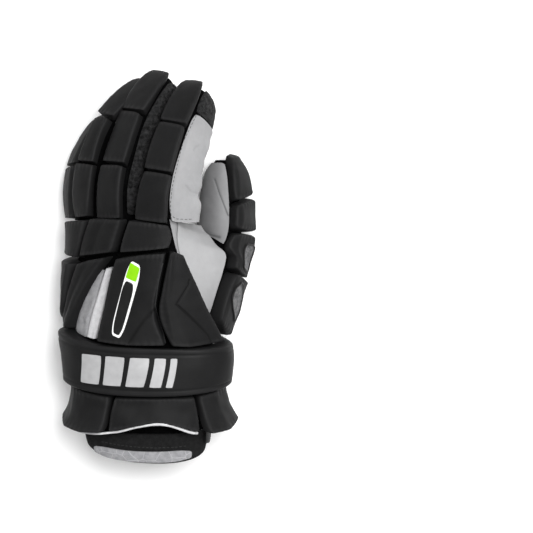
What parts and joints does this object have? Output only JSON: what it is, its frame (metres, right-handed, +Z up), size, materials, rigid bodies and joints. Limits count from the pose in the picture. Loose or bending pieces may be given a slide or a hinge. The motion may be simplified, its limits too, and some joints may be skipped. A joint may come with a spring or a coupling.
{
  "type": "padded lacrosse glove",
  "caption": "Padded left-hand lacrosse glove with open cuff, foam finger and back pads, leather palm and wrist band, lying palm down",
  "frame": {"origin": "middle of the bottom of the glove's box, on the surface that it rests on", "axes": "+Y from cuff to fingertips, +X towards the thumb, +Z up, out of the back of the hand"},
  "size_m": [0.1684, 0.3326, 0.0963],
  "materials": {
    "pads": "black synthetic leather over foam, satin, soft edges",
    "knit": "black knit, matt",
    "palm": "light grey soft leather, matt",
    "window_mesh": "dark grey open mesh",
    "vent": "light grey vent fabric",
    "strap": "black synthetic leather strap, satin",
    "lining": "grey lining with fine lighter lines",
    "piping": "light grey piping"
  },
  "bodies": {
    "root": {"back_plate": "pads", "back_shell": "knit", "cuff_lining": "lining", "flare_centre": "pads", "flare_left": "pads", "flare_piping": "piping", "flare_right": "pads", "flare_under": "pads", "hand_side_pad": "pads", "index_gusset": "palm", "index_pad_distal": "pads", "index_pad_middle": "pads", "index_pad_proximal": "pads", "index_stall": "knit", "index_tip_mesh": "window_mesh", "inner_cuff": "knit", "knuckle_index": "pads", "knuckle_middle": "pads", "knuckle_pinky": "pads", "middle_pad_distal": "pads", "middle_pad_middle": "pads", "middle_pad_proximal": "pads", "middle_side_knit": "knit", "middle_stall": "knit", "outer_roll": "pads", "palm_leather": "palm", "palm_web": "palm", "pinky_pad_lower": "pads", "pinky_pad_upper": "pads", "pinky_stall": "knit", "pull_tab": "strap", "ring_pad_distal": "pads", "ring_pad_middle": "pads", "ring_pad_proximal": "pads", "ring_stall": "knit", "strap_end": "strap", "thumb_pad_base": "pads", "thumb_pad_distal": "pads", "thumb_pad_lower": "pads", "thumb_pad_middle": "pads", "thumb_side_panel": "pads", "thumb_stall": "knit", "thumb_suede": "palm", "thumb_web": "palm", "thumb_window_base": "window_mesh", "thumb_window_lower": "window_mesh", "vent_fabric": "vent", "vent_strip": "vent", "wrist_band": "strap"}
  },
  "joints": []
}
